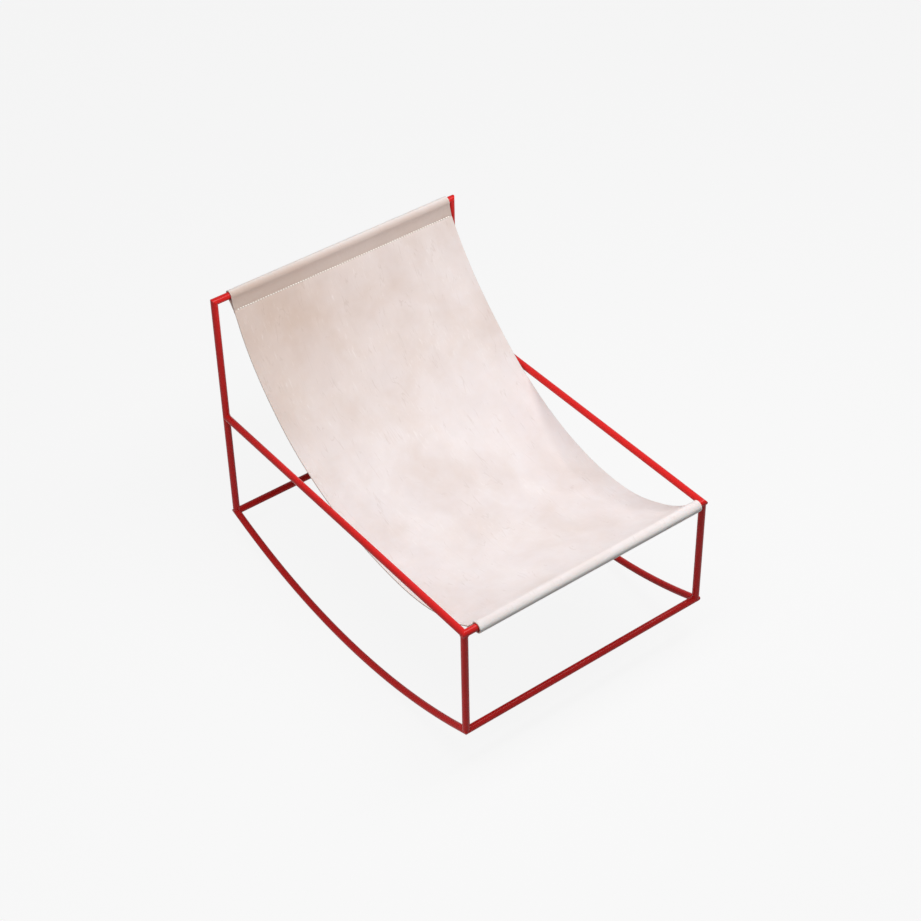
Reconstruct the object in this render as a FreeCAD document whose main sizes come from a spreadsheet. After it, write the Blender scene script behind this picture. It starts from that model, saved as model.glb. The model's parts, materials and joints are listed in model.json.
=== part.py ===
import FreeCAD, Part
import math
import os

import Sketcher
from FreeCAD import Placement, Rotation, Vector

# Rocking lounge chair: a welded round-tube frame that stands on two bent rockers, and one leather
# sling that hangs from the top cross tube to the front cross tube.
#
# The chair is drawn in its own square frame first: X across, Y to the back, Z up, with the origin
# midway between the two front lower corners. It is then leaned back to the pose in which it rests.
# Left means the -X side, which is the left hand of somebody who looks at the chair from the front.

# Driving dimensions in millimetres, degrees and kilograms per cubic metre
DIMENSIONS = [
    ("tube_diameter", 16.0, "outside of every frame tube"),
    ("tube_wall", 1.5, "wall of every frame tube"),
    ("outer_width", 650.0, "over the two side frames"),
    ("side_depth", 870.0, "front post axis to back post axis"),
    ("rail_height", 280.0, "side rail axis above the rocker ends"),
    ("back_height", 595.0, "top cross tube axis above the rocker ends"),
    ("rocker_radius", 1200.0, "bend of the rocker tube at its axis"),
    ("rocker_end", 20.0, "straight end of a rocker, from its bend to the corner"),
    ("weld_radius", 1.3, "bead of the welds"),
    ("weld_stop", 6.0, "weld end to the flank where its two tubes are level"),
    ("leather_thickness", 3.0, "one layer of the sling"),
    ("sling_width", 588.0, "sling along the cross tubes"),
    ("sling_offset", 10.0, "middle of the sling to the right of the chair's middle"),
    ("tunnel_clearance", 0.4, "hem tunnel to cross tube"),
    ("low_point_depth", 257.0, "lowest line of the seat behind the front posts"),
    ("low_point_height", 183.0, "lowest line of the seat above the rocker ends"),
    ("back_bend", 640.0, "radius of the sling behind its lowest line"),
    ("front_bend", 338.0, "radius of the sling in front of its lowest line"),
    ("hem_depth", 41.5, "end of the folded hem to the tube axis"),
    ("hem_gap", 0.3, "folded layer to the layer that it is sewn to"),
    ("stitch_depth", 34.5, "stitch row to the tube axis"),
    ("stitch_length", 4.4, "one visible stitch"),
    ("stitch_pitch", 6.5, "stitch to stitch"),
    ("thread_width", 1.0, "thread as it lies"),
    ("thread_height", 0.6, "thread above the leather"),
    ("stitch_margin", 6.0, "last stitch to the side edge of the sling"),
    ("steel_density", 7850.0, "frame tubes and welds"),
    ("leather_density", 900.0, "sling"),
    ("thread_density", 300.0, "stitching"),
]

doc = FreeCAD.newDocument("rocking_chair")
sheet = doc.addObject("Spreadsheet::Sheet", "Dimensions")
for row, (alias, value, meaning) in enumerate(DIMENSIONS, start=1):
    sheet.set(f"A{row}", meaning)
    sheet.set(f"B{row}", str(value))
    sheet.setAlias(f"B{row}", alias)
doc.recompute()


def dim(alias):
    return float(sheet.get(alias))


TUBE_RADIUS = "Dimensions.tube_diameter / 2"
BORE_RADIUS = "Dimensions.tube_diameter / 2 - Dimensions.tube_wall"
BLOCK_TUBES = 3  # edge of a cutting block, in tube diameters
X_AXIS = Vector(1, 0, 0)
Y_AXIS = Vector(0, 1, 0)
Z_AXIS = Vector(0, 0, 1)

tube_radius = dim("tube_diameter") / 2
side_x = dim("outer_width") / 2 - tube_radius
rocker_half_angle = (
    math.asin(dim("side_depth") / 2 / math.hypot(dim("rocker_radius"), dim("rocker_end")))
    - math.atan(dim("rocker_end") / dim("rocker_radius"))
)
rocker_centre_z = (
    dim("rocker_radius") * math.cos(rocker_half_angle) - dim("rocker_end") * math.sin(rocker_half_angle)
)

# Tube axes meet at these corners of the left side frame
front_lower = Vector(-side_x, 0, 0)
front_upper = Vector(-side_x, 0, dim("rail_height"))
back_lower = Vector(-side_x, dim("side_depth"), 0)
back_middle = Vector(-side_x, dim("side_depth"), dim("rail_height"))
back_upper = Vector(-side_x, dim("side_depth"), dim("back_height"))
rocker_from_front = Vector(0, math.cos(rocker_half_angle), -math.sin(rocker_half_angle))
rocker_from_back = Vector(0, -math.cos(rocker_half_angle), -math.sin(rocker_half_angle))

subparts = {}
densities = {}


# Building blocks

def primitive(kind, name, place, **sizes):
    item = doc.addObject(kind, name)
    item.Placement = place
    for prop, expression in sizes.items():
        item.setExpression(prop, expression)
    return item


def fused(name, shapes):
    item = doc.addObject("Part::MultiFuse", name)
    item.Shapes = shapes
    return item


def cut(name, base, tool):
    item = doc.addObject("Part::Cut", name)
    item.Base = base
    item.Tool = tool
    return item


def cut_by_each(name, base, tools):
    """Cuts one neighbour after another out of a tube."""
    for number, tool in enumerate(tools, start=1):
        base = cut(f"{name}_{number}", base, tool)
    return base


def keep(item, label, density):
    item.Label = label
    subparts[label] = item
    densities[label] = dim(density)
    return item


def along(start, direction):
    return Placement(start, Rotation(Z_AXIS, direction))


def tube_core(name, start, direction, length):
    place = along(start, direction)
    return primitive("Part::Cylinder", f"{name}_core", place, Radius=TUBE_RADIUS, Height=length)


def tube_bore(name, start, direction, length):
    place = along(start, direction)
    return primitive("Part::Cylinder", f"{name}_bore", place, Radius=BORE_RADIUS, Height=length)


def block(name, corner, outward, sideways):
    """A block that stands outward from the plane through a corner."""
    turn = Rotation(sideways.cross(outward), sideways, outward, "ZXY")
    half = BLOCK_TUBES * dim("tube_diameter") / 2
    start = corner - turn.multVec(Vector(half, half, 0))
    edge = f"{BLOCK_TUBES} * Dimensions.tube_diameter"
    return primitive("Part::Box", name, Placement(start, turn), Length=edge, Width=edge, Height=edge)


def mitre_block(name, corner, own_way, other_way):
    """What a mitre takes off a tube that leaves a corner one way, where another leaves it square to that."""
    return block(name, corner, (other_way - own_way).normalize(), own_way.cross(other_way))


def under_block(name, corner, rocker_way):
    """All that lies below the plane of a floor cross tube and the rocker end beside it."""
    return block(name, corner, rocker_way.cross(X_AXIS) * math.copysign(1, rocker_way.y), X_AXIS)


def mirrored(label, source):
    item = doc.addObject("Part::Mirroring", label)
    item.Source = source
    item.Normal = X_AXIS
    return keep(item, label, "steel_density")


# Cross tubes, mitred at both ends into the tubes of the side frames

def cross_tube(label, left_corner, side_way):
    right_corner = Vector(-left_corner.x, left_corner.y, left_corner.z)
    start = left_corner - X_AXIS * tube_radius
    core = tube_core(label, start, X_AXIS, "Dimensions.outer_width")
    bore = tube_bore(label, start, X_AXIS, "Dimensions.outer_width")
    ends = fused(f"{label}_ends", [
        mitre_block(f"{label}_left_end", left_corner, X_AXIS, side_way),
        mitre_block(f"{label}_right_end", right_corner, -X_AXIS, side_way),
    ])
    mitred = cut(f"{label}_mitred", core, ends)
    keep(cut(label, mitred, bore), label, "steel_density")
    return mitred


top_cross = cross_tube("top_cross_tube", back_upper, -Z_AXIS)
front_cross = cross_tube("front_cross_tube", front_upper, Y_AXIS)
front_floor_cross = cross_tube("front_floor_cross_tube", front_lower, rocker_from_front)
rear_floor_cross = cross_tube("rear_floor_cross_tube", back_lower, rocker_from_back)


# Rockers, bent to one radius between short straight ends, which are mitred into the floor cross tubes

ROCKER_SWEEP = (
    "2 * (asin(Dimensions.side_depth / 2 / sqrt(Dimensions.rocker_radius ^ 2 + Dimensions.rocker_end ^ 2))"
    " - atan(Dimensions.rocker_end / Dimensions.rocker_radius))"
)
ROCKER_END_REACH = "Dimensions.rocker_end + Dimensions.tube_diameter"


def rocker_rod(name, radius, straight):
    """A bent rod along the rocker's axis that runs past both corners."""
    centre = Vector(-side_x, dim("side_depth") / 2, rocker_centre_z)
    first = Vector(0, -math.sin(rocker_half_angle), -math.cos(rocker_half_angle))
    turn = Rotation(first, X_AXIS.cross(first), X_AXIS, "ZXY")
    bend = primitive(
        "Part::Torus", f"{name}_bend", Placement(centre, turn),
        Radius1="Dimensions.rocker_radius", Radius2=radius, Angle3=ROCKER_SWEEP,
    )
    return fused(name, [
        bend,
        rocker_straight(f"{name}_front", front_lower, rocker_from_front, straight),
        rocker_straight(f"{name}_back", back_lower, rocker_from_back, straight),
    ])


def rocker_straight(name, corner, way, straight):
    """One straight end of that rod, from past its corner to the bend."""
    return straight(name, corner - way * dim("tube_diameter"), way, ROCKER_END_REACH)


def rocker_tip(name, corner, way):
    """The outside of a rocker's straight end, mitred at its corner."""
    rod = rocker_straight(f"{name}_rod", corner, way, tube_core)
    return cut(name, rod, mitre_block(f"{name}_end", corner, way, X_AXIS))


rocker_ends = fused("rocker_ends", [
    mitre_block("rocker_front_end", front_lower, rocker_from_front, X_AXIS),
    mitre_block("rocker_back_end", back_lower, rocker_from_back, X_AXIS),
])
rocker_mitred = cut("rocker_mitred", rocker_rod("rocker_outside", TUBE_RADIUS, tube_core), rocker_ends)
rocker = keep(
    cut("rocker_left", rocker_mitred, rocker_rod("rocker_inside", BORE_RADIUS, tube_bore)),
    "rocker_left", "steel_density",
)
rocker_front_tip = rocker_tip("rocker_front_tip", front_lower, rocker_from_front)
rocker_back_tip = rocker_tip("rocker_back_tip", back_lower, rocker_from_back)

# Side rails, mitred into the front cross tube and coped onto the back posts
back_post_reach = "Dimensions.back_height + Dimensions.tube_diameter"
back_post_start = back_lower - Z_AXIS * tube_radius
back_post_core = tube_core("back_post", back_post_start, Z_AXIS, back_post_reach)
rail_reach = "Dimensions.side_depth + Dimensions.tube_diameter / 2"
rail_start = front_upper - Y_AXIS * tube_radius
rail_mitred = cut(
    "side_rail_mitred",
    tube_core("side_rail", rail_start, Y_AXIS, rail_reach),
    mitre_block("side_rail_front_end", front_upper, Y_AXIS, X_AXIS),
)
rail_coped = cut("side_rail_coped", rail_mitred, back_post_core)
rail = keep(
    cut("side_rail_left", rail_coped, tube_bore("side_rail", rail_start, Y_AXIS, rail_reach)),
    "side_rail_left", "steel_density",
)

# Back posts, mitred into the top cross tube and coped onto the rear lower corner
back_post_mitred = cut(
    "back_post_mitred", back_post_core, mitre_block("back_post_top_end", back_upper, -Z_AXIS, X_AXIS)
)
back_post_footed = cut(
    "back_post_footed", back_post_mitred, under_block("back_post_foot", back_lower, rocker_from_back)
)
back_post_coped = cut_by_each("back_post_coped", back_post_footed, [rocker_back_tip, rear_floor_cross])
back_post = keep(
    cut("back_post_left", back_post_coped, tube_bore("back_post", back_post_start, Z_AXIS, back_post_reach)),
    "back_post_left", "steel_density",
)

# Front posts, coped between the lower and the upper front corners
front_post_reach = "Dimensions.rail_height + Dimensions.tube_diameter / 2"
front_post_start = front_lower - Z_AXIS * tube_radius
front_post_footed = cut(
    "front_post_footed",
    tube_core("front_post", front_post_start, Z_AXIS, front_post_reach),
    under_block("front_post_foot", front_lower, rocker_from_front),
)
front_post_headed = cut(
    "front_post_headed", front_post_footed, fused("front_upper_corner", [rail_mitred, front_cross])
)
front_post_coped = cut_by_each("front_post_coped", front_post_headed, [rocker_front_tip, front_floor_cross])
front_post = keep(
    cut("front_post_left", front_post_coped,
        tube_bore("front_post", front_post_start, Z_AXIS, front_post_reach)),
    "front_post_left", "steel_density",
)

doc.recompute()


# Weld beads along the inside of each coped joint. Each bead is laid in runs that end at the corners of
# the joint, and it bites into the tubes on both sides.

ALIGNED = 1e-6  # sine of the angle between two axes that count as parallel
SAME_POINT = 0.05  # millimetres between two ends that count as one
SHARPEST_TURN = math.radians(80)  # a bead goes round a corner up to this turn
CORNER_ROOM = 1.05  # runs stop this much before they would touch at a corner


def joint_edges(coped, axis, corner, inside):
    """Edges where the outside of a coped tube end meets its neighbours, on the inside of the corner."""
    shortest = dim("weld_radius")
    reach = 2 * dim("tube_diameter")
    behind = -tube_radius / 4
    edges = []
    for face in coped.Shape.Faces:
        round_face = isinstance(face.Surface, Part.Cylinder)
        if not round_face or face.Surface.Axis.cross(axis).Length > ALIGNED:
            continue
        for edge in face.Edges:
            middle = edge.valueAt((edge.FirstParameter + edge.LastParameter) / 2) - corner
            curved = not isinstance(edge.Curve, Part.Line)
            if curved and edge.Length > shortest and middle.Length < reach and middle.dot(inside) > behind:
                edges.append(edge)
    return edges


def edge_ends(edge):
    """Each end of an edge as its point and the heading from it along the edge."""
    return [
        (edge.valueAt(edge.FirstParameter), edge.tangentAt(edge.FirstParameter)),
        (edge.valueAt(edge.LastParameter), -edge.tangentAt(edge.LastParameter)),
    ]


def end_trim(point, heading, others):
    """How far a run stops short of its end: clear of the next run at a corner, or off the tubes' flank."""
    for other in others:
        for other_point, other_heading in edge_ends(other):
            turn = math.pi - heading.getAngle(other_heading)
            if other_point.isEqual(point, SAME_POINT) and turn < SHARPEST_TURN:
                return CORNER_ROOM * dim("weld_radius") * math.tan(turn / 2)
    return dim("weld_stop")


def weld_run(edge, others):
    start_trim, finish_trim = [end_trim(point, heading, others) for point, heading in edge_ends(edge)]
    first = edge.getParameterByLength(start_trim)
    last = edge.getParameterByLength(edge.Length - finish_trim)
    path = edge.Curve.toShape(first, last)
    ring = Part.makeCircle(dim("weld_radius"), path.valueAt(first), path.tangentAt(first))
    return Part.Wire([path]).makePipe(Part.Face(Part.Wire([ring])))


def weld_bead(label, coped, axis, corner, inside):
    edges = joint_edges(coped, axis, corner, inside.normalize())
    runs = [weld_run(edge, [other for other in edges if not other.isSame(edge)]) for edge in edges]
    item = doc.addObject("Part::Feature", label)
    item.Shape = Part.Compound(runs)
    return keep(item, label, "steel_density")


left_welds = [
    weld_bead("front_lower_weld_left", front_post_coped, Z_AXIS, front_lower, X_AXIS + Y_AXIS),
    weld_bead("front_upper_weld_left", front_post_coped, Z_AXIS, front_upper, X_AXIS + Y_AXIS),
    weld_bead("back_lower_weld_left", back_post_coped, Z_AXIS, back_lower, X_AXIS - Y_AXIS),
    weld_bead("rail_weld_left", rail_coped, Y_AXIS, back_middle, -Y_AXIS),
]

# The right side frame mirrors the left one
for left_item in [rocker, front_post, back_post, rail] + left_welds:
    mirrored(left_item.Label.replace("_left", "_right"), left_item)


# Sling. Its path runs both ways from the lowest line of the seat: a bend, a straight run up to the cross
# tube, a turn around the tube and the folded layer that comes back to be sewn down. The sketches have
# their origin on the lowest line, at mid thickness.

class Hem:
    """Points of one half of the sling's path, on a side of +1 for the back and -1 for the front."""

    def __init__(self, side, bend, tube_y, tube_z):
        self.side = side
        self.bend = bend
        self.turn = tube_radius + dim("tunnel_clearance") + dim("leather_thickness") / 2
        self.bend_centre = Vector(0, bend, 0)
        self.tube = Vector(side * tube_y, tube_z, 0)
        reach = self.tube - self.bend_centre
        self.slope = math.atan2(reach.y, reach.x) + math.asin((bend + self.turn) / reach.Length)
        self.up = Vector(math.cos(self.slope), math.sin(self.slope), 0)
        self.out = Vector(-self.up.y, self.up.x, 0)
        self.bend_end = self.bend_centre - self.out * bend
        self.turn_start = self.tube + self.out * self.turn
        depth = dim("hem_depth")
        fold_out = self.turn - dim("leather_thickness") - dim("hem_gap")
        fold_down = math.sqrt(depth ** 2 - fold_out ** 2)
        self.fold_end = self.tube - self.up * fold_down + self.out * fold_out
        swing = math.atan2(fold_out, fold_down) - math.acos(self.turn / depth)
        self.turn_end = self.tube + (self.out * math.sin(swing) - self.up * math.cos(swing)) * self.turn

    def place(self, point):
        return Vector(self.side * point.x, point.y, 0)

    def arc(self, centre, radius, start, end):
        """The arc from start to end, counter-clockwise on the back and clockwise on the front."""
        middle = self.place(centre)
        ends = [self.place(start), self.place(end)]
        if self.side < 0:
            ends.reverse()
        angles = [math.atan2(end.y - middle.y, end.x - middle.x) for end in ends]
        return Part.ArcOfCircle(Part.Circle(middle, Z_AXIS, radius), *angles)

    def line(self, start, end):
        return Part.LineSegment(self.place(start), self.place(end))


def plane_of(body, role):
    return next(feature for feature in body.Origin.OriginFeatures if feature.Role == role)


def new_sketch(body, name, role):
    sketch = body.newObject("Sketcher::SketchObject", name)
    sketch.AttachmentSupport = [(plane_of(body, role), "")]
    sketch.MapMode = "FlatFace"
    return sketch


def bind(sketch, expression, *constraint):
    index = sketch.addConstraint(Sketcher.Constraint(*constraint))
    sketch.setExpression(f"Constraints[{index}]", expression)


START, END, CENTRE = 1, 2, 3
TURN_RADIUS = "Dimensions.tube_diameter / 2 + Dimensions.tunnel_clearance + Dimensions.leather_thickness / 2"


def sling_path(body, name, hem, bend, tube_depth, tube_height):
    """The sketch of one half of the path, from the lowest line to the end of the folded layer."""
    sketch = new_sketch(body, name, "YZ_Plane")
    near, far = (START, END) if hem.side > 0 else (END, START)
    origin = Vector(0, 0, 0)
    bend_arc = sketch.addGeometry(hem.arc(hem.bend_centre, hem.bend, origin, hem.bend_end))
    run = sketch.addGeometry(hem.line(hem.bend_end, hem.turn_start))
    turn_arc = sketch.addGeometry(hem.arc(hem.tube, hem.turn, hem.turn_end, hem.turn_start))
    fold = sketch.addGeometry(hem.line(hem.turn_end, hem.fold_end))
    sketch.addConstraint([
        Sketcher.Constraint("Coincident", bend_arc, near, -1, START),
        Sketcher.Constraint("PointOnObject", bend_arc, CENTRE, -2),
        Sketcher.Constraint("Tangent", bend_arc, far, run, START),
        Sketcher.Constraint("Tangent", run, END, turn_arc, far),
        Sketcher.Constraint("Tangent", turn_arc, near, fold, START),
    ])
    bind(sketch, f"Dimensions.{bend}", "Radius", bend_arc, hem.bend)
    bind(sketch, TURN_RADIUS, "Radius", turn_arc, hem.turn)
    tube = hem.place(hem.tube)
    bind(sketch, tube_depth, "DistanceX", -1, START, turn_arc, CENTRE, tube.x)
    bind(sketch, tube_height, "DistanceY", -1, START, turn_arc, CENTRE, tube.y)
    bind(sketch, "Dimensions.hem_depth", "Distance", turn_arc, CENTRE, fold, END, dim("hem_depth"))
    layers = dim("leather_thickness") + dim("hem_gap")
    bind(sketch, "Dimensions.leather_thickness + Dimensions.hem_gap", "Distance", fold, END, run, layers)
    return sketch


def centred_rectangle(sketch, width, height, width_size, height_size):
    """A rectangle about the sketch's origin."""
    x, y = width_size / 2, height_size / 2
    corners = [Vector(-x, -y, 0), Vector(x, -y, 0), Vector(x, y, 0), Vector(-x, y, 0)]
    for index in range(4):
        sketch.addGeometry(Part.LineSegment(corners[index], corners[(index + 1) % 4]))
    for index in range(4):
        sketch.addConstraint(Sketcher.Constraint("Coincident", index, END, (index + 1) % 4, START))
        sketch.addConstraint(Sketcher.Constraint("Vertical" if index % 2 else "Horizontal", index))
    sketch.addConstraint(Sketcher.Constraint("Symmetric", 0, START, 1, END, -1, START))
    bind(sketch, width, "DistanceX", 0, START, 0, END, width_size)
    bind(sketch, height, "DistanceY", 1, START, 1, END, height_size)


back_hem = Hem(1, dim("back_bend"), dim("side_depth") - dim("low_point_depth"),
               dim("back_height") - dim("low_point_height"))
front_hem = Hem(-1, dim("front_bend"), -dim("low_point_depth"), dim("rail_height") - dim("low_point_height"))
seat_origin = Vector(dim("sling_offset"), dim("low_point_depth"), dim("low_point_height"))

sling = doc.addObject("PartDesign::Body", "sling_panel")
section = new_sketch(sling, "sling_section", "XZ_Plane")
centred_rectangle(section, "Dimensions.sling_width", "Dimensions.leather_thickness",
                  dim("sling_width"), dim("leather_thickness"))
paths = [
    sling_path(sling, "sling_back_path", back_hem, "back_bend",
               "Dimensions.side_depth - Dimensions.low_point_depth",
               "Dimensions.back_height - Dimensions.low_point_height"),
    sling_path(sling, "sling_front_path", front_hem, "front_bend",
               "-Dimensions.low_point_depth",
               "Dimensions.rail_height - Dimensions.low_point_height"),
]
doc.recompute()
for path in paths:
    pipe = sling.newObject("PartDesign::AdditivePipe", path.Name.replace("path", "half"))
    pipe.Profile = section
    pipe.Spine = (path, [f"Edge{number}" for number in range(1, 5)])
sling.Placement = Placement(seat_origin, Rotation())
keep(sling, "sling_panel", "leather_density")
doc.recompute()


# Stitching. A row of stitches lies on the leather, across the sling.

STITCH_COUNT = (
    "floor((Dimensions.sling_width - 2 * Dimensions.stitch_margin - Dimensions.stitch_length)"
    " / Dimensions.stitch_pitch) + 1"
)
ROW_LENGTH = f"({STITCH_COUNT} - 1) * Dimensions.stitch_pitch"
stitch_room = dim("sling_width") - 2 * dim("stitch_margin") - dim("stitch_length")
row_length = math.floor(stitch_room / dim("stitch_pitch")) * dim("stitch_pitch")


def stitch_slot(sketch):
    """One stitch with round ends, at the left end of the row."""
    radius = dim("thread_width") / 2
    half = dim("stitch_length") / 2 - radius
    middle = -row_length / 2
    left, right = Vector(middle - half, 0, 0), Vector(middle + half, 0, 0)
    rise = Vector(0, radius, 0)
    quarter = math.pi / 2
    lower = sketch.addGeometry(Part.LineSegment(left - rise, right - rise))
    right_end = sketch.addGeometry(Part.ArcOfCircle(Part.Circle(right, Z_AXIS, radius), -quarter, quarter))
    upper = sketch.addGeometry(Part.LineSegment(right + rise, left + rise))
    left_end = sketch.addGeometry(Part.ArcOfCircle(Part.Circle(left, Z_AXIS, radius), quarter, 3 * quarter))
    sketch.addConstraint([
        Sketcher.Constraint("Tangent", lower, END, right_end, START),
        Sketcher.Constraint("Tangent", right_end, END, upper, START),
        Sketcher.Constraint("Tangent", upper, END, left_end, START),
        Sketcher.Constraint("Tangent", left_end, END, lower, START),
        Sketcher.Constraint("Horizontal", lower),
        Sketcher.Constraint("PointOnObject", left_end, CENTRE, -1),
    ])
    bind(sketch, "Dimensions.thread_width / 2", "Radius", left_end, radius)
    bind(sketch, "Dimensions.stitch_length - Dimensions.thread_width",
         "DistanceX", left_end, CENTRE, right_end, CENTRE, 2 * half)
    bind(sketch, f"{ROW_LENGTH} / 2 + (Dimensions.stitch_length - Dimensions.thread_width) / 2",
         "DistanceX", left_end, CENTRE, -1, START, half - middle)


def stitch_row(name, place):
    body = doc.addObject("PartDesign::Body", name)
    body.AllowCompound = True
    body.Placement = place
    sketch = new_sketch(body, f"{name}_stitch", "XY_Plane")
    stitch_slot(sketch)
    pad = body.newObject("PartDesign::Pad", f"{name}_thread")
    pad.Profile = sketch
    pad.setExpression("Length", "Dimensions.thread_height")
    doc.recompute()
    row = body.newObject("PartDesign::LinearPattern", f"{name}_row")
    row.Originals = [pad]
    row.Direction = (sketch, ["H_Axis"])
    row.setExpression("Length", ROW_LENGTH)
    row.setExpression("Occurrences", STITCH_COUNT)
    body.Tip = row
    return body


def on_face(hem, point, normal):
    """A row's place on the leather: X across the sling and Z out of the face."""
    middle = point + normal * (dim("leather_thickness") / 2)
    place = seat_origin + Vector(0, hem.side * middle.x, middle.y)
    facing = Vector(0, hem.side * normal.x, normal.y)
    return Placement(place, Rotation(X_AXIS, facing.cross(X_AXIS), facing, "ZXY"))


def seat_face(hem):
    return on_face(hem, hem.turn_start - hem.up * dim("stitch_depth"), hem.out)


def folded_face(hem):
    fold = (hem.fold_end - hem.turn_end).normalize()
    outside = Vector(fold.y, -fold.x, 0)
    if outside.dot(hem.out) > 0:
        outside = -outside
    return on_face(hem, hem.fold_end - fold * (dim("hem_depth") - dim("stitch_depth")), outside)


top_stitching = doc.addObject("Part::Compound", "top_hem_stitching")
top_stitching.Links = [
    stitch_row("top_hem_front_row", seat_face(back_hem)),
    stitch_row("top_hem_back_row", folded_face(back_hem)),
]
keep(top_stitching, "top_hem_stitching", "thread_density")
keep(stitch_row("front_hem_stitching", folded_face(front_hem)), "front_hem_stitching", "thread_density")
doc.recompute()


# Rest pose. The chair rolls on its rockers until its centre of mass is below the middle of their bend.

def rest_lean():
    masses = {label: item.Shape.Volume * densities[label] for label, item in subparts.items()}
    moment = Vector(0, 0, 0)
    for label, item in subparts.items():
        moment += item.Shape.CenterOfGravity * masses[label]
    centre = moment * (1 / sum(masses.values()))
    return math.atan2(centre.y - dim("side_depth") / 2, rocker_centre_z - centre.z)


def set_down():
    """Leans the chair back, sets its rockers on the ground and its origin at the middle of its outline."""
    lean = rest_lean()
    turn = Rotation(X_AXIS, -math.degrees(lean))
    rocker_middle = turn.multVec(Vector(0, dim("side_depth") / 2, rocker_centre_z))
    ground = rocker_middle.z - dim("rocker_radius") - tube_radius
    homes = {label: item.Placement for label, item in subparts.items() if item.TypeId != "Part::Mirroring"}
    shift = Vector(0, 0, -ground)
    for centring in (False, True):
        for label, home in homes.items():
            subparts[label].Placement = Placement(shift, turn).multiply(home)
        doc.recompute()
        if not centring:
            boxes = [item.Shape.optimalBoundingBox(True, False) for item in subparts.values()]
            shift.y = -(min(box.YMin for box in boxes) + max(box.YMax for box in boxes)) / 2
    print(f"rest lean {math.degrees(lean):.3f} degrees, origin shift {shift.y:.3f} {shift.z:.3f} mm")


set_down()


# Checks and files

def faults():
    for item in doc.Objects:
        if {"Invalid", "Error"} & set(item.State):
            yield f"{item.Name}: {item.State}"
    for label, item in subparts.items():
        if item.Shape.isNull() or not item.Shape.isValid():
            yield f"{label}: bad shape"


found = list(faults())
if found:
    raise RuntimeError("; ".join(found))

os.makedirs("parts", exist_ok=True)
for label, item in subparts.items():
    item.Shape.exportStep(f"parts/{label}.step")
print(f"{len(subparts)} sub-parts written")
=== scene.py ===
"""Looks of the leather rocking chair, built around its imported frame. Lengths are in metres."""

import json
import math

import bpy
import numpy as np
from mathutils import Matrix, Vector, noise

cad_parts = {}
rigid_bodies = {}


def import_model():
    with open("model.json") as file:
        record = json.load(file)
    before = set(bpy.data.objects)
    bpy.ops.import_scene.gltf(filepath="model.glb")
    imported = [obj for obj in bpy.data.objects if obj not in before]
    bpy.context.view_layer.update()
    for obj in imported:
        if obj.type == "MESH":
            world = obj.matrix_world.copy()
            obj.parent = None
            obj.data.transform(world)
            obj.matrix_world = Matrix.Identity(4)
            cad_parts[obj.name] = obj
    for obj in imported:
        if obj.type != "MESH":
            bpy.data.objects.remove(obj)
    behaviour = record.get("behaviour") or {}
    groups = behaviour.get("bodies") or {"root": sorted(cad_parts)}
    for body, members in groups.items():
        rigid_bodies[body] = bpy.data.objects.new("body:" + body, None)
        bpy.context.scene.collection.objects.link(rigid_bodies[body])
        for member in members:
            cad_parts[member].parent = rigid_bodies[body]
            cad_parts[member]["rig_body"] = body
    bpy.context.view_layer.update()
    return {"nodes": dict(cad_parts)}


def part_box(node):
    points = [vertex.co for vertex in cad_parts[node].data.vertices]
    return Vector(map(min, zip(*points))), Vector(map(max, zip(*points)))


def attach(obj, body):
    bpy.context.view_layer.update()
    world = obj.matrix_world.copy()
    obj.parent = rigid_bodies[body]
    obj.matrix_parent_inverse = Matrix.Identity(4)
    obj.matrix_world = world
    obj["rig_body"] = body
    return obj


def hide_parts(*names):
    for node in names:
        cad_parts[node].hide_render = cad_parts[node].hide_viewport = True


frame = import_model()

# Camera, at the photograph's viewing angle
CAMERA_AZIMUTH = math.radians(-37.82)
CAMERA_ELEVATION = math.radians(42.01)
CAMERA_ROLL = math.radians(0.67)
CAMERA_DISTANCE = 4.725
CAMERA_TARGET = Vector((0.0120, 0.0053, 0.3524))
CAMERA_LENS = 84.77
CAMERA_SENSOR = 36.0

# Sheet of leather
LEATHER_THICKNESS = 0.003
LOW_POINT_DEPTH = 0.257
LOW_POINT_HEIGHT = 0.183
BACK_BEND = 0.640
FRONT_BEND = 0.338
TUNNEL_CLEARANCE = 0.0004
BACK_LOOP_SLACK = 0.0004
FRONT_LOOP_SLACK = 0.0018
HEM_GAP = 0.0003
HEM_DEPTH = 0.0415
HEM_CREASE = math.radians(10)
HEM_PULL_SHARE = 0.3
ROLL_LIFT = math.radians(28)
STITCH_DEPTH = 0.0345
BACK_PINCH_REACH = 0.28
FRONT_PINCH_REACH = 0.14
LEFT_EDGE_TAPER = 0.007
LEFT_EDGE_SQUARE_SHARE = 0.43
RIGHT_EDGE_SHIFT = 0.001
SHEET_TWIST = 0.011
SHEET_SIDE_LEAN = 0.003
EDGE_ROUNDING = 0.0008
EDGE_ROUNDING_TURNS = math.pi / 6, math.pi / 3, math.pi / 2
EDGE_WANDER = 0.0008
EDGE_WANDER_RATE = 9
LEFT_EDGE_SEED = -7.0
RIGHT_EDGE_SEED = 7.0
EDGE_SEED = 1.7
SURFACE_WANDER = 0.0015
SURFACE_WANDER_RATE_ACROSS = 1.5
SURFACE_WANDER_RATE_ALONG = 4
SURFACE_WANDER_FADE = 0.5
SURFACE_SEED = 0.3
STITCH_PULL = 0.0006
STITCH_PULL_REACH = 0.003
ROW_SPACING = 0.004
FINE_ROW_SPACING = 0.0012
COLUMN_SPACING = 0.0065
EDGE_COLUMN = 0.0012
FLAT_MAP = "flat"
GRAIN, CUT_EDGE, FLESH = range(3)

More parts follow.
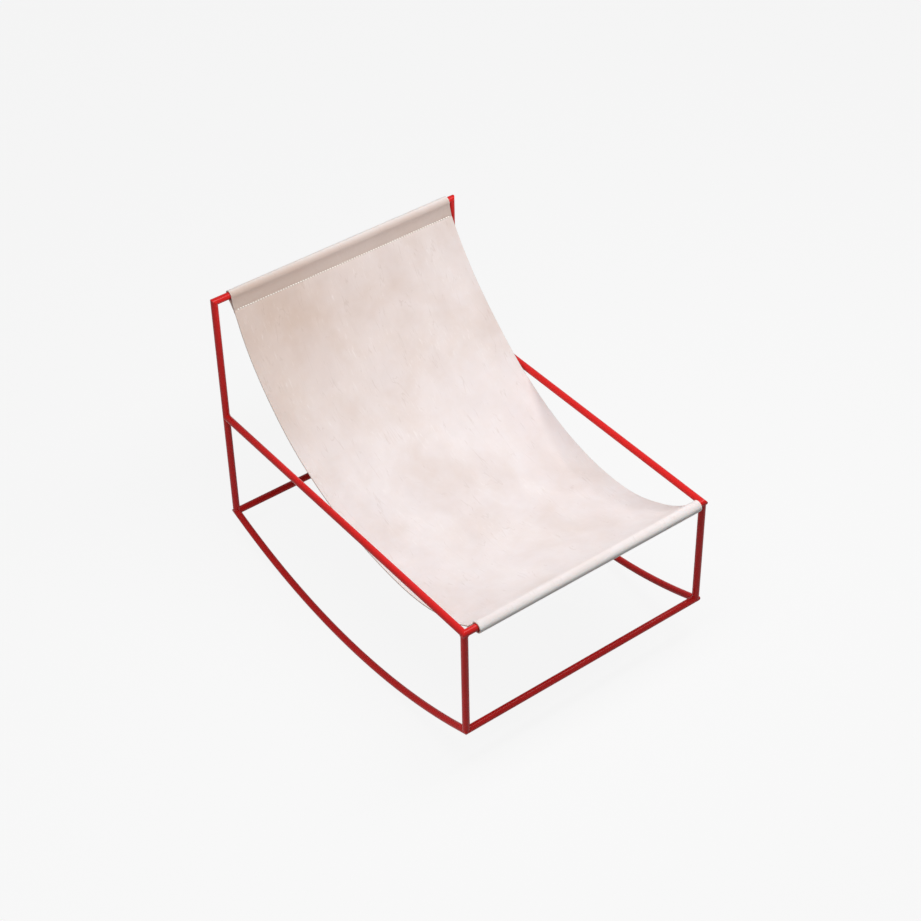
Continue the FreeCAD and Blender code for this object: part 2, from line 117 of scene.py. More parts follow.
# Colours
WHITE = (1.0, 1.0, 1.0)
PAINT_DEEP = (0.59, 0.012, 0.011)
PAINT_BRIGHT = (0.65, 0.016, 0.015)
LEATHER_PALE = (0.80, 0.74, 0.735)
# the leather's own beige, also used as painted shade towards the top and the top-left corner
LEATHER_BEIGE_AND_SHADE = (0.65, 0.53, 0.465)
LEATHER_FLECK = (0.88, 0.83, 0.82)
# painted light: paler leather on the faces of the front and top rolls
LEATHER_PAINTED_LIGHT = (0.96, 0.90, 0.87)
# painted shade in the top hem band, between the stitch row and the roll
LEATHER_HEM_PAINTED_SHADE = (0.48, 0.37, 0.315)
LEATHER_SHEEN = (1.0, 0.95, 0.93)
CLOUD_TINT = (0.955, 0.945, 0.945)
MOTTLE_TINT = (0.975, 0.962, 0.950)
GROWTH_TINT = (0.90, 0.875, 0.855)
NAP_TINT = (0.86, 0.84, 0.82)
CUT_EDGE_DEEP = (0.60, 0.50, 0.44)
CUT_EDGE_PALE = (0.72, 0.62, 0.56)
FLESH_DEEP = (0.62, 0.51, 0.44)
FLESH_PALE = (0.74, 0.63, 0.56)
THREAD_DEEP = (0.88, 0.83, 0.76)
THREAD_PALE = (0.95, 0.91, 0.85)

# Where the leather's colour changes, and where light and shade are painted into it, across and along the flat
# sheet
# bounds of the painted shade that turns the leather beige towards its left corner and its top
PAINTED_SHADE_LEFT = 0.02
PAINTED_SHADE_RIGHT = 0.46
PAINTED_SHADE_BOTTOM = 0.62
PAINTED_SHADE_TOP = 1.02
# how much painted shade goes into the top-left corner and along the top
CORNER_PAINTED_SHADE = 0.6
TOP_PAINTED_SHADE = 0.27
# shares of painted light on the top roll and of painted shade in the hem band below it
TOP_ROLL_LIGHT_SHARE = 0.6
HEM_PAINTED_SHADE_SHARE = 0.6
# where the bands of painted light on the rolls and of painted shade in the top hem band start and end
ROLL_FADE = 0.009
FRONT_ROLL_UNDER = 0.022
FRONT_ROLL_FACE = 0.001
TOP_ROLL_FACE = 0.004
TOP_ROLL_BACK = 0.022
HEM_FADE = 0.002
HEM_SHADED_REACH = 0.016

# Thread
STITCH_PITCH = 0.0065
STITCH_LENGTH = 0.0047
STITCH_MARGIN = 0.006
THREAD_RADIUS = 0.0013
THREAD_RISE = 0.0009
THREAD_UNEVENNESS = 0.35
THREAD_UNEVENNESS_RATE = 400
THREAD_SEED = 0.5
THREAD_ARCH_POWER = 0.6
THREAD_SIDES = 8
THREAD_RINGS = 9
THREAD_PLY_TURNS = 1.5
THREAD_PLY_DEPTH = 0.14

# Light and stage
SOFTBOX_PLACE = Vector((0.3, -0.36, 2.15))
SOFTBOX_WIDTH = 2.6
SOFTBOX_DEPTH = 0.6
SOFTBOX_POWER = 46.5
FILL_PLACE = Vector((-2.2, -0.6, 0.9))
FILL_SIZE = 1.4
FILL_POWER = 7.5
AMBIENT = 0.10
BACKGROUND = 0.899
FLOOR_GLOW = 0.945
FLOOR_PALE = 0.98
FLOOR_SHADOW = 0.05
FLOOR_BOUNCE = 0.48
FLOOR_HALF_WIDTH = 14.0


# Places taken from the frame
def middle(node):
    low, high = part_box(node)
    return (low + high) / 2


def tube_radius(node):
    low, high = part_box(node)
    return (high.z - low.z) / 2


chair_origin = middle("front_floor_cross_tube")
chair_deep = (middle("rear_floor_cross_tube") - chair_origin).normalized()
chair_tall = Vector((1, 0, 0)).cross(chair_deep)
sheet_low, sheet_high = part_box("sling_panel")
sheet_left = sheet_low.x
sheet_right = sheet_high.x
sheet_width = sheet_right - sheet_left
rod_radius = tube_radius("top_cross_tube")
turn_radius = rod_radius + TUNNEL_CLEARANCE + LEATHER_THICKNESS / 2
layer_offset = (LEATHER_THICKNESS + HEM_GAP) / 2


def in_side_plane(point):
    """A scene point as depth behind and height above the low front corners, in the chair's own lean."""
    offset = point - chair_origin
    return Vector((offset.dot(chair_deep), offset.dot(chair_tall)))


def to_scene(x, depth, height):
    spot = chair_origin + chair_deep * depth + chair_tall * height
    return Vector((x, spot.y, spot.z))


# Path of the leather, seen from the side
def cubic(start, start_pull, end_pull, end, count):
    shares = np.linspace(0, 1, count)[:, None]
    rest = 1 - shares
    return (rest ** 3 * start + 3 * rest ** 2 * shares * start_pull
            + 3 * rest * shares ** 2 * end_pull + shares ** 3 * end)


def arc_points(centre, radius, start, end, spacing):
    count = max(3, int(abs(end - start) * radius / spacing) + 2)
    angles = np.linspace(start, end, count)[:, None]
    return centre + radius * np.hstack([np.cos(angles), np.sin(angles)])


def line_points(start, end, spacing):
    count = max(2, int(np.linalg.norm(end - start) / spacing) + 2)
    return start + (end - start) * np.linspace(0, 1, count)[:, None]


def distances_along(points):
    steps = np.linalg.norm(np.diff(points, axis=0), axis=1)
    return np.concatenate([[0], np.cumsum(steps)])


def smooth_step(shares):
    shares = np.clip(shares, 0, 1)
    return shares * shares * (3 - 2 * shares)


def half_path(side, bend, pinch_reach, slack, tube):
    """Half of the path, from the lowest line over the tube to the cut end of the folded layer.

    Depth grows with side, so the back half has side 1 and the front half is mirrored with -1.
    Towards the stitch row the leather is pinched in to meet the folded layer.
    """
    low = np.array([LOW_POINT_DEPTH, LOW_POINT_HEIGHT])
    rod = (np.array(tube) - low) * [side, 1]
    bend_centre = np.array([0, bend])
    reach = rod - bend_centre
    slope = math.atan2(reach[1], reach[0]) + math.asin((bend + turn_radius) / np.linalg.norm(reach))
    up = np.array([math.cos(slope), math.sin(slope)])
    out = np.array([-up[1], up[0]])

    seat_bend = arc_points(bend_centre, bend, -math.pi / 2, slope - math.pi / 2, ROW_SPACING)
    straight_end = rod - up * STITCH_DEPTH + out * turn_radius
    straight = line_points(seat_bend[-1], straight_end, FINE_ROW_SPACING)[1:]
    seat = np.vstack([seat_bend, straight])
    inward = np.vstack([(bend_centre - seat_bend) / bend, np.tile(out, (len(straight), 1))])
    seat_run = distances_along(seat)
    pinched = 1 - smooth_step((seat_run[-1] - seat_run) / pinch_reach)
    seat = seat - inward * ((turn_radius - layer_offset) * pinched)[:, None]

    loop = rod - np.array([0, slack])
    loop_radius = turn_radius + slack

    def hem_layer(face):
        """The layer between the stitch row and the loop, on the seat's face (1) or folded behind it (-1)."""
        start = rod - up * STITCH_DEPTH + out * face * layer_offset
        start_way = up * math.cos(HEM_CREASE) + out * face * math.sin(HEM_CREASE)
        end = loop + loop_radius * (out * face * math.cos(ROLL_LIFT) - up * math.sin(ROLL_LIFT))
        end_way = up * math.cos(ROLL_LIFT) + out * face * math.sin(ROLL_LIFT)
        pull = STITCH_DEPTH * HEM_PULL_SHARE
        count = int(STITCH_DEPTH / FINE_ROW_SPACING)
        return cubic(start, start + start_way * pull, end - end_way * pull, end, count)

    facing_angle = math.atan2(out[1], out[0])
    loop_ends = facing_angle + ROLL_LIFT, facing_angle - ROLL_LIFT - math.pi
    upper = hem_layer(1)
    turn = arc_points(loop, loop_radius, *loop_ends, FINE_ROW_SPACING)
    folded = hem_layer(-1)[::-1]
    tail = line_points(folded[-1], folded[-1] - up * (HEM_DEPTH - STITCH_DEPTH), FINE_ROW_SPACING)
    points = np.vstack([seat, upper[1:], turn[1:], folded[1:], tail[1:]]) * [side, 1] + low
    stitch_row = len(seat) - 1
    turn_row = stitch_row + len(upper) + len(turn) // 2
    folded_stitch_row = stitch_row + len(upper) + len(turn) + len(folded) - 3
    return points, stitch_row, turn_row, folded_stitch_row


top_tube = in_side_plane(middle("top_cross_tube"))
front_tube = in_side_plane(middle("front_cross_tube"))
back_points, *back_marks = half_path(1, BACK_BEND, BACK_PINCH_REACH, BACK_LOOP_SLACK, top_tube)
front_points, *front_marks = half_path(-1, FRONT_BEND, FRONT_PINCH_REACH, FRONT_LOOP_SLACK, front_tube)
path = np.vstack([front_points[::-1], back_points[1:]])
low_row = len(front_points) - 1
back_stitch_row, back_turn_row, back_folded_row = [low_row + mark for mark in back_marks]
front_stitch_row, front_turn_row, front_folded_row = [low_row - mark for mark in front_marks]
sewn_rows = [back_stitch_row, back_folded_row, front_folded_row]
run = distances_along(path)
tangent = np.gradient(path, run, axis=0)
tangent /= np.linalg.norm(tangent, axis=1)[:, None]
facing = np.stack([-tangent[:, 1], tangent[:, 0]], axis=1)


# Surface of the leather
def smooth_shade(mesh):
    mesh.polygons.foreach_set("use_smooth", np.ones(len(mesh.polygons), dtype=bool))
    mesh.update()


def share_between(along, first_row, last_row):
    return (along - run[first_row]) / (run[last_row] - run[first_row])


def surface_offset(across, along):
    """How far the leather stands off its mean path, towards the sitter, at a place on the sheet.

    The place is -1 at the left edge and 1 at the right edge, and a distance along the path.
    """
    share = min(max(share_between(along, front_stitch_row, back_stitch_row), 0), 1)
    middle_share = math.sin(math.pi * share)
    twist = -across * (SHEET_TWIST * math.sin(2 * math.pi * share) + SHEET_SIDE_LEAN * middle_share)
    fade = abs(middle_share) ** SURFACE_WANDER_FADE
    wander_place = (across * SURFACE_WANDER_RATE_ACROSS, along * SURFACE_WANDER_RATE_ALONG, SURFACE_SEED)
    wander = SURFACE_WANDER * fade * noise.noise(Vector(wander_place))
    nearest = min(abs(along - run[row]) for row in sewn_rows)
    pull = STITCH_PULL * math.exp(-(nearest / STITCH_PULL_REACH) ** 2)
    return twist + wander - pull


def edge_wander(along, seed):
    return EDGE_WANDER * (0.5 + 0.5 * noise.noise(Vector((along * EDGE_WANDER_RATE, seed, EDGE_SEED))))


def sheet_edges(along):
    """The x of both cut edges, which are neither quite square nor quite even."""
    share = min(max(share_between(along, front_turn_row, back_turn_row), 0), 1)
    left = sheet_left + LEFT_EDGE_TAPER * (share - LEFT_EDGE_SQUARE_SHARE)
    right = sheet_right + RIGHT_EDGE_SHIFT
    left += edge_wander(along, LEFT_EDGE_SEED)
    right -= edge_wander(along, RIGHT_EDGE_SEED)
    return left, right


def half_section():
    """The grain side and the right edge of the sheet's section, as (place across, height, inset) points."""
    half = LEATHER_THICKNESS / 2
    columns = int(sheet_width / COLUMN_SPACING)
    beside_edge = 1 - 2 * EDGE_COLUMN / sheet_width
    places = [-1, *np.linspace(-beside_edge, beside_edge, columns - 1), 1]
    section = [(across, half, EDGE_ROUNDING) for across in places]
    rounding = [(1.0, half - EDGE_ROUNDING * (1 - math.cos(turn)), EDGE_ROUNDING * (1 - math.sin(turn)))
                for turn in EDGE_ROUNDING_TURNS]
    section += rounding
    section += [(across, -height, inset) for across, height, inset in reversed(rounding)]
    return section, columns


def sheet_mesh(name):
    """The closed skin of the sheet, with a flat map in metres and its grain, cut and flesh faces marked."""
    grain_half, grain_columns = half_section()
    section = grain_half + [(-across, -height, inset) for across, height, inset in grain_half]
    rows = len(path)
    columns = len(section)
    points = np.zeros((rows, columns, 3))
    flat = np.zeros((rows, columns, 2))
    for row, along in enumerate(run):
        left, right = sheet_edges(along)
        for column, (across, height, inset) in enumerate(section):
            x = (left + right) / 2 + across * ((right - left) / 2 - inset)
            spot = path[row] + facing[row] * (surface_offset(across, along) + height)
            points[row, column] = to_scene(x, *spot)
            flat[row, column] = (x - sheet_left, along)
    grid = np.arange(rows * columns).reshape(rows, columns)
    beside = np.roll(grid, -1, axis=1)
    quads = np.stack([grid[:-1], beside[:-1], beside[1:], grid[1:]], axis=-1).reshape(-1, 4)
    ends = [grid[0][::-1].tolist(), grid[-1].tolist()]
    mesh = bpy.data.meshes.new(name)
    mesh.from_pydata(points.reshape(-1, 3).tolist(), [], quads.tolist() + ends)
    layer = mesh.uv_layers.new(name=FLAT_MAP)
    corner_vertex = np.zeros(len(mesh.loops), dtype=np.int32)
    mesh.loops.foreach_get("vertex_index", corner_vertex)
    layer.uv.foreach_set("vector", flat.reshape(-1, 2)[corner_vertex].astype(np.float32).ravel())
    kinds = np.full(columns, CUT_EDGE, dtype=np.int32)
    kinds[:grain_columns] = GRAIN
    kinds[len(grain_half):len(grain_half) + grain_columns] = FLESH
    face_kinds = np.concatenate([np.tile(kinds, rows - 1), [CUT_EDGE] * len(ends)])
    mesh.polygons.foreach_set("material_index", face_kinds)
    smooth_shade(mesh)
    return mesh


# Materials
class NodeTree:
    """A new material, with short ways to add the nodes that its finish is made of."""

    def __init__(self, name):
        self.material = bpy.data.materials.new(name)
        self.material.use_nodes = True
        self.nodes = self.material.node_tree.nodes
        self.links = self.material.node_tree.links
        self.shader = self.nodes["Principled BSDF"]

    def fill(self, socket, value):
        """Gives a socket a constant, or links it to another node's output."""
        if isinstance(value, bpy.types.NodeSocket):
            self.links.new(value, socket)
        elif socket.type == "RGBA":
            socket.default_value = (*value, 1.0)
        else:
            socket.default_value = value

    def finish(self, name, value):
        self.fill(self.shader.inputs[name], value)

    def scaled(self, places, scale, stretch):
        mapping = self.nodes.new("ShaderNodeMapping")
        mapping.inputs["Scale"].default_value = [scale * factor for factor in stretch]
        self.links.new(places, mapping.inputs["Vector"])
        return mapping.outputs["Vector"]

    def on_sheet(self, scale, stretch=(1, 1, 1)):
        """Places on the flat sheet, in metres before they are scaled."""
        source = self.nodes.new("ShaderNodeUVMap")
        source.uv_map = FLAT_MAP
        return self.scaled(source.outputs["UV"], scale, stretch)

    def in_space(self, scale):
        """Places in the object's own space, in metres before they are scaled."""
        source = self.nodes.new("ShaderNodeTexCoord")
        return self.scaled(source.outputs["Object"], scale, (1, 1, 1))

    def noise(self, places, detail=3.0, roughness=0.55, distortion=0.0):
        texture = self.nodes.new("ShaderNodeTexNoise")
        texture.inputs["Scale"].default_value = 1.0
        texture.inputs["Detail"].default_value = detail
        texture.inputs["Roughness"].default_value = roughness
        texture.inputs["Distortion"].default_value = distortion
        self.links.new(places, texture.inputs["Vector"])
        return texture.outputs["Fac"]

    def cell_edges(self, places):
        texture = self.nodes.new("ShaderNodeTexVoronoi")
        texture.feature = "DISTANCE_TO_EDGE"
        texture.inputs["Scale"].default_value = 1.0
        self.links.new(places, texture.inputs["Vector"])
        return texture.outputs["Distance"]

    def ramp(self, factor, *stops):
        node = self.nodes.new("ShaderNodeValToRGB")
        elements = node.color_ramp.elements
        while len(elements) < len(stops):
            elements.new(0.5)
        for element, (position, colour) in zip(elements, stops):
            element.position = position
            element.color = (*colour, 1.0)
        self.links.new(factor, node.inputs["Fac"])
        return node.outputs["Color"]

    def mix(self, factor, first, second, blend="MIX"):
        node = self.nodes.new("ShaderNodeMix")
        node.data_type = "RGBA"
        node.blend_type = blend
        sockets = [socket for socket in node.inputs if socket.enabled]
        for socket, value in zip(sockets, (factor, first, second)):
            self.fill(socket, value)
        return next(socket for socket in node.outputs if socket.enabled)

    def tint(self, colour, by):
        return self.mix(1.0, colour, by, "MULTIPLY")

    def combine(self, operation, first, second):
        node = self.nodes.new("ShaderNodeMath")
        node.operation = operation
        node.use_clamp = True
        self.links.new(first, node.inputs[0])
        self.links.new(second, node.inputs[1])
        return node.outputs["Value"]

    def to_range(self, factor, low, high, from_low=0.0, from_high=1.0):
        node = self.nodes.new("ShaderNodeMapRange")
        node.inputs["From Min"].default_value = from_low
        node.inputs["From Max"].default_value = from_high
        node.inputs["To Min"].default_value = low
        node.inputs["To Max"].default_value = high
        self.links.new(factor, node.inputs["Value"])
        return node.outputs["Result"]

    def band(self, along, low, high, low_fade=ROLL_FADE, high_fade=ROLL_FADE):
        """1 between two lines across the sheet, fading to 0 outside them."""
        rise = self.to_range(along, 0.0, 1.0, from_low=low - low_fade, from_high=low)
        fall = self.to_range(along, 1.0, 0.0, from_low=high, from_high=high + high_fade)
        return self.combine("MULTIPLY", rise, fall)

    def bump(self, height, strength, distance, under=None):
        node = self.nodes.new("ShaderNodeBump")
        node.inputs["Strength"].default_value = strength
        node.inputs["Distance"].default_value = distance
        self.links.new(height, node.inputs["Height"])
        if under is not None:
            self.links.new(under, node.inputs["Normal"])
        return node.outputs["Normal"]


def paint_material():
    """Red powder coat: a satin film with a fine orange-peel skin."""
    tree = NodeTree("frame_paint")
    broad = tree.noise(tree.in_space(scale=14), detail=4)
    smear = tree.noise(tree.in_space(scale=60))
    peel = tree.noise(tree.in_space(scale=700), detail=2)
    tree.finish("Base Color", tree.ramp(broad, (0.3, PAINT_DEEP), (0.7, PAINT_BRIGHT)))
    tree.finish("Roughness", tree.to_range(smear, low=0.2, high=0.3))
    tree.finish("Normal", tree.bump(peel, strength=0.06, distance=0.0002))
    tree.finish("Specular IOR Level", 0.15)
    return tree.material


def hide_colour(tree, mottle, across, along):
    """Beige blotches, a painted shade that turns the leather beige towards the top and its left corner,
    clouds, growth marks and light flecks.
    """
    blotch = tree.noise(tree.on_sheet(scale=5.5), detail=5, distortion=0.4)
    cloud = tree.noise(tree.on_sheet(scale=11, stretch=(1, 0.6, 1)), detail=4, distortion=0.6)
    growth = tree.noise(tree.on_sheet(scale=10, stretch=(3.2, 0.55, 1)), distortion=0.5)
    fleck = tree.noise(tree.on_sheet(scale=110, stretch=(1.7, 0.35, 1)), distortion=0.3)

    # painted shade: the leather is mixed towards beige near the top and the top-left corner, on top of its
    # own random beige blotches
    shade_towards_left = tree.to_range(across, 1.0, 0.0, from_low=PAINTED_SHADE_LEFT, from_high=PAINTED_SHADE_RIGHT)
    shade_towards_top = tree.to_range(along, 0.0, 1.0, from_low=PAINTED_SHADE_BOTTOM, from_high=PAINTED_SHADE_TOP)
    corner = tree.combine("MULTIPLY", shade_towards_left, shade_towards_top)
    beige_and_shade_share = tree.to_range(blotch, low=0.0, high=0.4, from_low=0.45, from_high=0.72)
    for place, most in ((corner, CORNER_PAINTED_SHADE), (shade_towards_top, TOP_PAINTED_SHADE)):
        beige_and_shade_share = tree.combine("ADD", beige_and_shade_share, tree.to_range(place, low=0.0, high=most))
    colour = tree.mix(beige_and_shade_share, LEATHER_PALE, LEATHER_BEIGE_AND_SHADE)
    colour = tree.tint(colour, tree.ramp(cloud, (0.35, CLOUD_TINT), (0.65, WHITE)))
    colour = tree.tint(colour, tree.ramp(mottle, (0.35, MOTTLE_TINT), (0.65, WHITE)))

    growth_lines = tree.ramp(growth, (0.47, WHITE), (0.482, GROWTH_TINT), (0.494, WHITE))
    broken = tree.to_range(mottle, low=0.0, high=1.0, from_low=0.49, from_high=0.57)
    colour = tree.mix(broken, colour, tree.tint(colour, growth_lines))
    fleck_share = tree.combine("MULTIPLY",
                               tree.to_range(fleck, low=0.0, high=0.4, from_low=0.58, from_high=0.74),
                               tree.to_range(cloud, low=0.0, high=1.0, from_low=0.46, from_high=0.6))
    return tree.mix(fleck_share, colour, LEATHER_FLECK)


def painted_roll_light_and_hem_shade(tree, colour, along):
    """The leather's colour with painted light on the front and top rolls, and painted shade in the top hem
    band under the roll.
    """
    front_line = run[front_turn_row]
    top_line = run[back_turn_row]
    # painted light on the front roll's face and on the top roll's crown
    front_roll_light = tree.band(along, front_line - FRONT_ROLL_UNDER, front_line - FRONT_ROLL_FACE)
    top_roll_light = tree.band(along, top_line - TOP_ROLL_FACE, top_line + TOP_ROLL_BACK)
    # painted shade in the hem band between the stitch row and the top roll
    hem_shade = tree.band(along, run[back_stitch_row], top_line - HEM_SHADED_REACH, low_fade=HEM_FADE)
    colour = tree.mix(front_roll_light, colour, LEATHER_PAINTED_LIGHT)
    colour = tree.mix(tree.to_range(top_roll_light, low=0.0, high=TOP_ROLL_LIGHT_SHARE), colour, LEATHER_PAINTED_LIGHT)
    return tree.mix(tree.to_range(hem_shade, low=0.0, high=HEM_PAINTED_SHADE_SHARE), colour, LEATHER_HEM_PAINTED_SHADE)


def leather_material():
    """Pale natural leather with a fine grain."""
    tree = NodeTree("leather")
    places = tree.nodes.new("ShaderNodeSeparateXYZ")
    tree.links.new(tree.on_sheet(scale=1), places.inputs["Vector"])
    across = places.outputs["X"]
    along = places.outputs["Y"]
    mottle = tree.noise(tree.on_sheet(scale=26), detail=5)
    grain = tree.cell_edges(tree.on_sheet(scale=620))
    tree.finish("Base Color", painted_roll_light_and_hem_shade(tree, hide_colour(tree, mottle, across, along), along))
    tree.finish("Roughness", tree.to_range(mottle, low=0.50, high=0.66))
    soft = tree.bump(mottle, strength=0.3, distance=0.002)
    tree.finish("Normal", tree.bump(grain, strength=0.2, distance=0.0004, under=soft))
    tree.finish("Specular IOR Level", 0.3)
    tree.finish("Sheen Weight", 0.4)
    tree.finish("Sheen Roughness", 0.4)
    tree.finish("Sheen Tint", LEATHER_SHEEN)
    tree.finish("Subsurface Weight", 0.4)
    tree.finish("Subsurface Radius", (1.0, 0.8, 0.7))
    tree.finish("Subsurface Scale", 0.003)
    return tree.material


def cut_edge_material():
    """The leather's raw cut edge: brown fibres in the thickness of the sheet."""
    tree = NodeTree("leather_edge")
    fibre = tree.noise(tree.in_space(scale=900))
    tree.finish("Base Color", tree.ramp(fibre, (0.3, CUT_EDGE_DEEP), (0.7, CUT_EDGE_PALE)))
    tree.finish("Roughness", tree.to_range(fibre, low=0.7, high=0.9))
    tree.finish("Normal", tree.bump(fibre, strength=0.4, distance=0.0004))
    return tree.material


def flesh_material():
    """The leather's underside: a short matt nap."""
    tree = NodeTree("leather_flesh_side")
    nap = tree.noise(tree.on_sheet(scale=420), detail=5, roughness=0.7)
    broad = tree.noise(tree.on_sheet(scale=16), detail=5)
    colour = tree.ramp(broad, (0.3, FLESH_DEEP), (0.7, FLESH_PALE))
    tree.finish("Base Color", tree.tint(colour, tree.ramp(nap, (0.3, NAP_TINT), (0.7, WHITE))))
    tree.finish("Roughness", tree.to_range(nap, low=0.82, high=0.95))
    tree.finish("Normal", tree.bump(nap, strength=0.5, distance=0.0006))
    tree.finish("Sheen Weight", 0.15)
    return tree.material


def thread_material():
    """Cream waxed thread."""
    tree = NodeTree("thread")
    fibre = tree.noise(tree.in_space(scale=1500))
    tree.finish("Base Color", tree.ramp(fibre, (0.3, THREAD_DEEP), (0.7, THREAD_PALE)))
    tree.finish("Roughness", tree.to_range(fibre, low=0.45, high=0.65))
    tree.finish("Normal", tree.bump(fibre, strength=0.3, distance=0.0002))
    return tree.material


# Leather and thread pieces
def add_object(name, mesh, materials):
    piece = bpy.data.objects.new(name, mesh)
    bpy.context.scene.collection.objects.link(piece)
    for material in materials:
        mesh.materials.append(material)
    return piece


def spot_on_sheet(x, row, height):
    """A point above the sheet's mid-surface, on the given row of the path."""
    left, right = sheet_edges(run[row])
    across = (2 * x - left - right) / (right - left)
    return to_scene(x, *(path[row] + facing[row] * (surface_offset(across, run[row]) + height)))


def stitch_rings(x_start, row):
    """The rings of one stitch: a plied thread that dips into the leather at both ends."""
    outward = (to_scene(0, *facing[row]) - to_scene(0, 0, 0)).normalized()
    sideways = Vector((1, 0, 0)).cross(outward)
    unevenness = noise.noise(Vector((x_start * THREAD_UNEVENNESS_RATE, row, THREAD_SEED)))
    rise = THREAD_RISE * (1 + THREAD_UNEVENNESS * unevenness)
    rings = []
    for step in range(THREAD_RINGS):
        share = step / (THREAD_RINGS - 1)
        arch = math.sin(math.pi * share) ** THREAD_ARCH_POWER
        height = LEATHER_THICKNESS / 2 - THREAD_RADIUS + (rise + THREAD_RADIUS) * arch
        centre = spot_on_sheet(x_start + share * STITCH_LENGTH, row, height)
        ring = []
        for side in range(THREAD_SIDES):
            angle = 2 * math.pi * side / THREAD_SIDES
            ply = 1 + THREAD_PLY_DEPTH * math.cos(2 * (angle - 2 * math.pi * THREAD_PLY_TURNS * share))
            reach = THREAD_RADIUS * ply
            ring.append(centre + reach * (outward * math.cos(angle) + sideways * math.sin(angle)))
        rings.append(ring)
    return rings


def stitch_faces(base):
    """The skin over the rings of one stitch, whose first vertex has the number base."""
    faces = []
    for step in range(THREAD_RINGS - 1):
        near = base + step * THREAD_SIDES
        far = near + THREAD_SIDES
        for side in range(THREAD_SIDES):
            beside = (side + 1) % THREAD_SIDES
            faces.append((near + side, near + beside, far + beside, far + side))
    last = base + (THREAD_RINGS - 1) * THREAD_SIDES
    faces.append(tuple(base + side for side in reversed(range(THREAD_SIDES))))
    faces.append(tuple(last + side for side in range(THREAD_SIDES)))
    return faces


def thread_mesh(name, rows):
    """Stitches all along the given rows of the path."""
    vertices = []
    faces = []
    for row in rows:
        left, right = sheet_edges(run[row])
        count = int((right - left - 2 * STITCH_MARGIN) / STITCH_PITCH)
        first = (left + right - (count - 1) * STITCH_PITCH - STITCH_LENGTH) / 2
        for number in range(count):
            faces += stitch_faces(len(vertices))
            for ring in stitch_rings(first + number * STITCH_PITCH, row):
                vertices += ring
    mesh = bpy.data.meshes.new(name)
    mesh.from_pydata(vertices, [], faces)
    smooth_shade(mesh)
    return mesh


leather = add_object("sling_leather", sheet_mesh("sling_leather"),
                     [leather_material(), cut_edge_material(), flesh_material()])
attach(leather, "sling")
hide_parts("sling_panel")

thread = thread_material()
top_stitches = thread_mesh("top_hem_thread", [back_stitch_row, back_folded_row])
top_thread = add_object("top_hem_thread", top_stitches, [thread])
front_stitches = thread_mesh("front_hem_thread", [front_folded_row])
front_thread = add_object("front_hem_thread", front_stitches, [thread])
for piece, node in ((top_thread, "top_hem_stitching"), (front_thread, "front_hem_stitching")):
    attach(piece, "sling")
    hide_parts(node)

# Frame finish
paint = paint_material()
for node in frame["nodes"].values():
    if node["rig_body"] == "frame":
        node.data.materials.clear()
        node.data.materials.append(paint)


# Stage, light and camera
def grey(level):
    return (level, level, level, 1)


def light_path_share(nodes, links):
    """1 for rays that show the background: straight to the camera, or by way of gloss or glass."""
    rays = nodes.new("ShaderNodeLightPath")
    total = rays.outputs["Is Camera Ray"]
    for name in ("Is Glossy Ray", "Is Transmission Ray"):
        node = nodes.new("ShaderNodeMath")
        node.operation = "MAXIMUM"
        links.new(total, node.inputs[0])
        links.new(rays.outputs[name], node.inputs[1])
        total = node.outputs[0]
    return total


def floor_material():
    """A pale floor that keeps a faint shadow, and sends less light back to the chair than it shows."""
    material = bpy.data.materials.new("floor")
    material.use_nodes = True
    nodes, links = material.node_tree.nodes, material.node_tree.links
    nodes.clear()
    output = nodes.new("ShaderNodeOutputMaterial")
    shown = light_path_share(nodes, links)
    bounce = nodes.new("ShaderNodeBsdfDiffuse")
    bounce.inputs["Color"].default_value = grey(FLOOR_BOUNCE)
    shaded = nodes.new("ShaderNodeBsdfDiffuse")
    shaded.inputs["Color"].default_value = grey(FLOOR_PALE)
    plain = nodes.new("ShaderNodeEmission")
    plain.inputs["Color"].default_value = grey(FLOOR_GLOW)
    pale = nodes.new("ShaderNodeMixShader")
    pale.inputs["Fac"].default_value = FLOOR_SHADOW
    links.new(plain.outputs[0], pale.inputs[1])
    links.new(shaded.outputs[0], pale.inputs[2])
    choice = nodes.new("ShaderNodeMixShader")
    links.new(shown, choice.inputs["Fac"])
    links.new(bounce.outputs[0], choice.inputs[1])
    links.new(pale.outputs[0], choice.inputs[2])
    links.new(choice.outputs[0], output.inputs["Surface"])
    return material


def add_floor():
    reach = FLOOR_HALF_WIDTH
    mesh = bpy.data.meshes.new("floor")
    corners = [(-reach, -reach, 0), (reach, -reach, 0), (reach, reach, 0), (-reach, reach, 0)]
    mesh.from_pydata(corners, [], [(0, 1, 2, 3)])
    add_object("floor", mesh, [floor_material()])


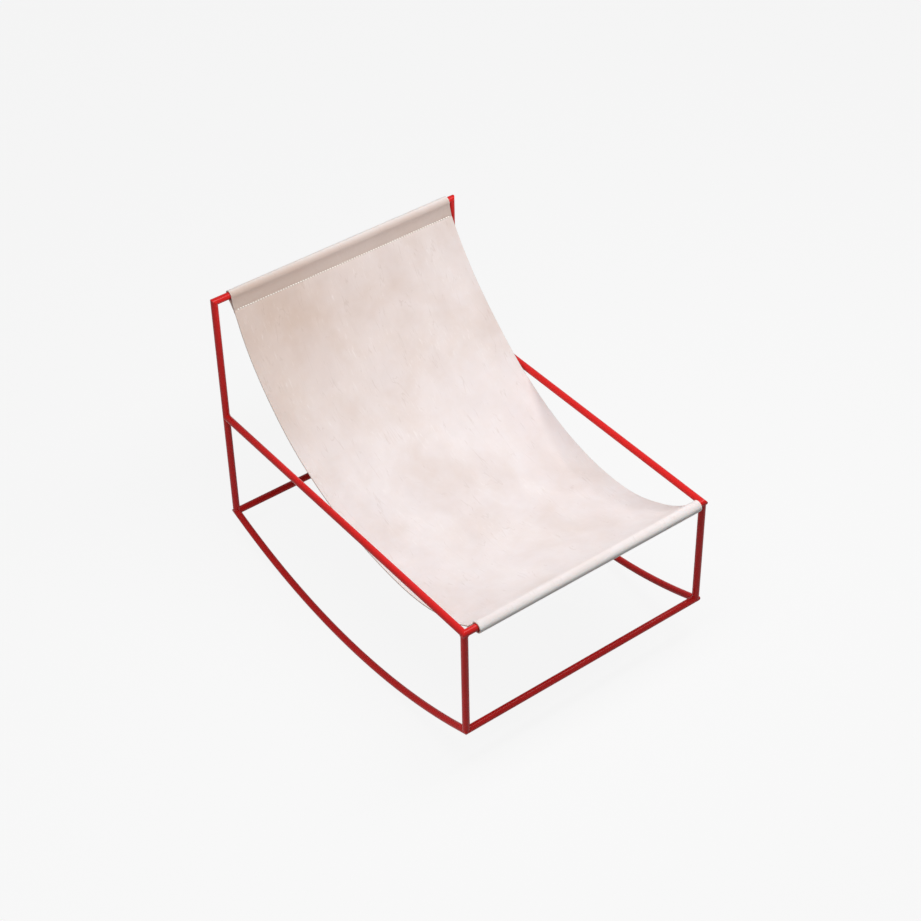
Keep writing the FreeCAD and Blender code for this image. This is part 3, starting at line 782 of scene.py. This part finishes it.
def set_world():
    """A weak even light, with a pale background wherever the world itself is seen."""
    world = bpy.data.worlds.new("studio")
    bpy.context.scene.world = world
    world.use_nodes = True
    nodes, links = world.node_tree.nodes, world.node_tree.links
    nodes.clear()
    output = nodes.new("ShaderNodeOutputWorld")
    ambient = nodes.new("ShaderNodeBackground")
    ambient.inputs["Color"].default_value = grey(1)
    ambient.inputs["Strength"].default_value = AMBIENT
    shown = nodes.new("ShaderNodeBackground")
    shown.inputs["Color"].default_value = grey(BACKGROUND)
    choice = nodes.new("ShaderNodeMixShader")
    links.new(light_path_share(nodes, links), choice.inputs["Fac"])
    links.new(ambient.outputs[0], choice.inputs[1])
    links.new(shown.outputs[0], choice.inputs[2])
    links.new(choice.outputs[0], output.inputs["Surface"])


def add_lamp(name, energy):
    lamp = bpy.data.lights.new(name, "AREA")
    lamp.energy = energy
    holder = bpy.data.objects.new(name, lamp)
    bpy.context.scene.collection.objects.link(holder)
    return lamp, holder


def add_softbox():
    """A wide strip of soft light above the chair, a little forward and to its right."""
    lamp, holder = add_lamp("softbox", SOFTBOX_POWER)
    lamp.shape = "RECTANGLE"
    lamp.size = SOFTBOX_WIDTH
    lamp.size_y = SOFTBOX_DEPTH
    holder.location = SOFTBOX_PLACE


def add_fill():
    """A weak soft light from the chair's left side."""
    lamp, holder = add_lamp("fill", FILL_POWER)
    lamp.size = FILL_SIZE
    holder.location = FILL_PLACE
    holder.rotation_euler = (CAMERA_TARGET - FILL_PLACE).to_track_quat("-Z", "Y").to_euler()


def add_camera():
    flat_reach = math.cos(CAMERA_ELEVATION)
    back = Vector((math.sin(CAMERA_AZIMUTH) * flat_reach, -math.cos(CAMERA_AZIMUTH) * flat_reach,
                   math.sin(CAMERA_ELEVATION)))
    right = Vector((math.cos(CAMERA_AZIMUTH), math.sin(CAMERA_AZIMUTH), 0))
    up = back.cross(right)
    rolled_right = right * math.cos(CAMERA_ROLL) + up * math.sin(CAMERA_ROLL)
    rolled_up = back.cross(rolled_right)
    data = bpy.data.cameras.new("camera")
    data.lens = CAMERA_LENS
    data.sensor_width = CAMERA_SENSOR
    camera = bpy.data.objects.new("camera", data)
    turn = Matrix((rolled_right, rolled_up, back)).transposed().to_4x4()
    camera.matrix_world = Matrix.Translation(CAMERA_TARGET + back * CAMERA_DISTANCE) @ turn
    bpy.context.scene.collection.objects.link(camera)
    bpy.context.scene.camera = camera


add_floor()
set_world()
add_softbox()
add_fill()
add_camera()
bpy.context.scene.view_settings.view_transform = "Standard"
